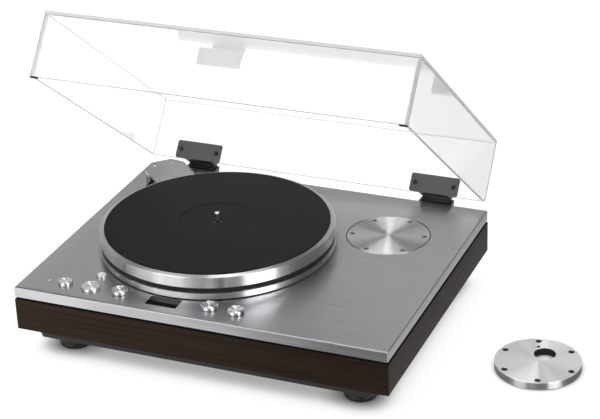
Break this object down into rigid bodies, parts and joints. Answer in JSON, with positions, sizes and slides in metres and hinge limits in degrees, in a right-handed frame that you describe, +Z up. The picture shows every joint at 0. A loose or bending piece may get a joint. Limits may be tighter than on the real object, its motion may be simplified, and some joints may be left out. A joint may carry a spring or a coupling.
{
  "type": "turntable",
  "caption": "Belt-drive record turntable with a brushed deck on a dark wooden plinth, black-matted platter, hinged clear lid and a loose bored arm base beside it.",
  "frame": {"origin": "centre of the record seat: the mat's top plane on the spindle's axis", "axes": "+X to the right along the deck's front edge, +Y to the back, +Z up the spindle"},
  "size_m": [0.6758, 0.4376, 0.4106],
  "materials": {
    "deck_aluminium": "brushed along its width",
    "polished_aluminium": "turned and polished",
    "dark_wood": "satin dark brown veneer",
    "pale_wood": "raw",
    "black_steel": "satin black paint",
    "dark_steel": "black oxide",
    "grey_steel": "satin dark grey",
    "bright_steel": "ground",
    "bearing_brass": "turned",
    "plain_aluminium": "machined",
    "motor_shell": "plain",
    "rubber_mat": "matte black",
    "black_rubber": "matte black",
    "foot_plastic": "satin black",
    "black_plastic": "matte black",
    "window_plastic": "smoked gloss",
    "board": "solder mask",
    "core_steel": "varnished laminations",
    "power_lens": "clear, unlit",
    "level_shell": "satin",
    "level_lens": "clear",
    "clear_sheet": "clear polished"
  },
  "bodies": {
    "base": {"top_plate": "deck_aluminium", "sub_chassis": "black_steel", "plinth_front": "dark_wood", "plinth_rear": "dark_wood", "plinth_left": "dark_wood", "plinth_right": "dark_wood", "corner_blocks": "pale_wood", "bottom_cover": "black_steel", "case_screws": "bright_steel", "bearing_housing": "plain_aluminium", "bearing_bushes": "bearing_brass", "thrust_bearing": "bright_steel", "motor_body": "motor_shell", "motor_bracket": "black_steel", "motor_isolators": "black_rubber", "motor_screws": "bright_steel", "motor_cover": "deck_aluminium", "drive_belt": "black_rubber", "arm_base_blank": "deck_aluminium", "arm_base_screws": "dark_steel", "strobe_window": "window_plastic", "strobe_housing": "black_plastic", "strobe_board": "board", "power_led": "power_lens", "level_body": "level_shell", "level_glass": "level_lens", "switch_bodies": "black_plastic", "pitch_pots": "black_plastic", "control_board": "board", "transformer": "core_steel", "inlet_plate": "black_steel", "mains_inlet": "black_plastic", "hinge_bracket_left": "black_steel", "hinge_bracket_right": "black_steel", "hinge_pins": "bright_steel"},
    "platter": {"platter": "polished_aluminium", "mat": "rubber_mat", "spindle": "bright_steel"},
    "rotor": {"pulley": "bearing_brass", "motor_shaft": "bright_steel"},
    "lid": {"lid_top": "clear_sheet", "lid_front": "clear_sheet", "lid_rear": "clear_sheet", "lid_left": "clear_sheet", "lid_right": "clear_sheet", "lid_pads": "black_rubber", "hinge_leaf_left": "grey_steel", "hinge_leaf_right": "grey_steel", "leaf_screws": "dark_steel"},
    "power_button": {"power_button": "polished_aluminium"},
    "start_button": {"start_button": "polished_aluminium"},
    "speed_knob": {"speed_knob": "polished_aluminium"},
    "pitch_knob_left": {"pitch_knob_left": "polished_aluminium"},
    "pitch_knob_right": {"pitch_knob_right": "polished_aluminium"},
    "foot_front_left": {"foot_front_left": "foot_plastic"},
    "foot_front_right": {"foot_front_right": "foot_plastic"},
    "foot_rear_left": {"foot_rear_left": "foot_plastic"},
    "foot_rear_right": {"foot_rear_right": "foot_plastic"},
    "spare_arm_base": {"spare_arm_base": "deck_aluminium"}
  },
  "joints": [
    {"name": "platter_spin", "type": "hinge", "parent": "base", "child": "platter", "pos_m": [0, 0, 0], "axis": [0, 0, 1], "continuous": true},
    {"name": "motor_spin", "type": "hinge", "parent": "base", "child": "rotor", "pos_m": [-0.13738, 0.1398, -0.0335], "axis": [0, 0, 1], "continuous": true},
    {"name": "lid_hinge", "type": "hinge", "parent": "base", "child": "lid", "pos_m": [0.052, 0.2119, -0.0265], "axis": [-1, 0, 0], "range_deg": [-38.2, 21.8]},
    {"name": "power_push", "type": "slide", "parent": "base", "child": "power_button", "axis": [0, 0, -1], "range_m": [0, 0.0025], "stiffness_N_per_m": 400, "springref_m": -0.002},
    {"name": "start_push", "type": "slide", "parent": "base", "child": "start_button", "axis": [0, 0, -1], "range_m": [0, 0.0025], "stiffness_N_per_m": 400, "springref_m": -0.002},
    {"name": "speed_turn", "type": "hinge", "parent": "base", "child": "speed_knob", "pos_m": [-0.0615, -0.1585, -0.0335], "axis": [0, 0, -1], "range_deg": [0, 60]},
    {"name": "pitch_turn_left", "type": "hinge", "parent": "base", "child": "pitch_knob_left", "pos_m": [0.0593, -0.1585, -0.0335], "axis": [0, 0, -1], "range_deg": [-150, 150]},
    {"name": "pitch_turn_right", "type": "hinge", "parent": "base", "child": "pitch_knob_right", "pos_m": [0.0943, -0.1585, -0.0335], "axis": [0, 0, -1], "range_deg": [-150, 150]},
    {"name": "spare_arm_base_lift", "type": "slide", "parent": "base", "child": "spare_arm_base", "axis": [0, 0, 1], "range_m": [0, 0.15]},
    {"name": "foot_front_left_turn", "type": "hinge", "parent": "base", "child": "foot_front_left", "pos_m": [-0.141, -0.1395, -0.1285], "axis": [0, 0, 1], "range_deg": [-180, 180]},
    {"name": "foot_front_right_turn", "type": "hinge", "parent": "base", "child": "foot_front_right", "pos_m": [0.24501, -0.1395, -0.1285], "axis": [0, 0, 1], "range_deg": [-180, 180]},
    {"name": "foot_rear_left_turn", "type": "hinge", "parent": "base", "child": "foot_rear_left", "pos_m": [-0.141, 0.1505, -0.1285], "axis": [0, 0, 1], "range_deg": [-180, 180]},
    {"name": "foot_rear_right_turn", "type": "hinge", "parent": "base", "child": "foot_rear_right", "pos_m": [0.24501, 0.1505, -0.1285], "axis": [0, 0, 1], "range_deg": [-180, 180]}
  ],
  "couplings": [
    {"joint": "motor_spin", "follows": "platter_spin", "ratio": 11.423}
  ]
}
